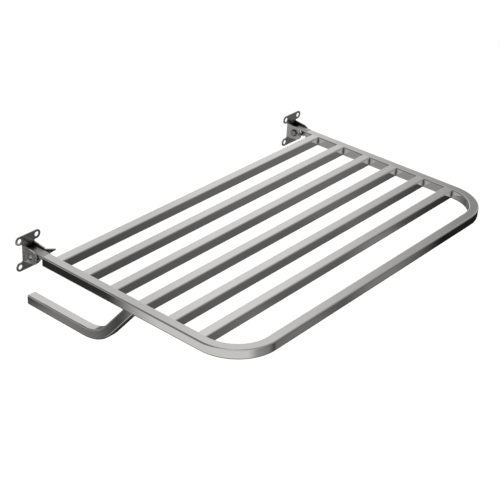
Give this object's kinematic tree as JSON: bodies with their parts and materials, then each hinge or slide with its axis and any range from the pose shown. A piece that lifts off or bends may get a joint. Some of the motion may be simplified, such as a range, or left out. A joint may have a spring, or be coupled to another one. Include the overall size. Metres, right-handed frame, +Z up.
{
  "type": "towel rack",
  "caption": "Fold-up wall towel rack: a rounded grille of square steel tube on two hinged brackets, with a hanging rail below its left arm.",
  "frame": {"origin": "on the wall plane, midway between the two wall brackets, at the height of the tubes' centre lines and of the middle of each bracket's four screws", "axes": "+X to the right as a person facing the wall sees it, +Y into the wall, +Z up; the rack stands out towards -Y"},
  "size_m": [0.6296, 0.3955, 0.111],
  "materials": {
    "tube_steel": "satin-polished 304 stainless steel tube",
    "weld_steel": "weld bead, ground and polished",
    "bracket_steel": "bent and polished 304 stainless steel sheet",
    "pin_steel": "turned stainless steel",
    "washer_nylon": "natural nylon"
  },
  "bodies": {
    "wall_brackets": {"left_wall_bracket": "bracket_steel", "left_pivot_pin": "pin_steel", "left_pivot_nut": "pin_steel", "left_outer_washer": "washer_nylon", "left_inner_washer": "washer_nylon", "left_stop_pin": "pin_steel", "right_wall_bracket": "bracket_steel", "right_pivot_pin": "pin_steel", "right_pivot_nut": "pin_steel", "right_outer_washer": "washer_nylon", "right_inner_washer": "washer_nylon", "right_stop_pin": "pin_steel"},
    "rack": {"frame_tube": "tube_steel", "slat_1": "tube_steel", "slat_2": "tube_steel", "slat_3": "tube_steel", "slat_4": "tube_steel", "slat_5": "tube_steel", "slat_6": "tube_steel", "slat_welds": "weld_steel", "hook_rail": "tube_steel", "hook_end_cap": "tube_steel", "hook_weld": "weld_steel", "left_knuckle": "bracket_steel", "right_knuckle": "bracket_steel"}
  },
  "joints": [
    {"name": "fold_up", "type": "hinge", "parent": "wall_brackets", "child": "rack", "pos_m": [0, -0.0155, 0], "axis": [-1, 0, 0], "range_deg": [0, 91]}
  ]
}
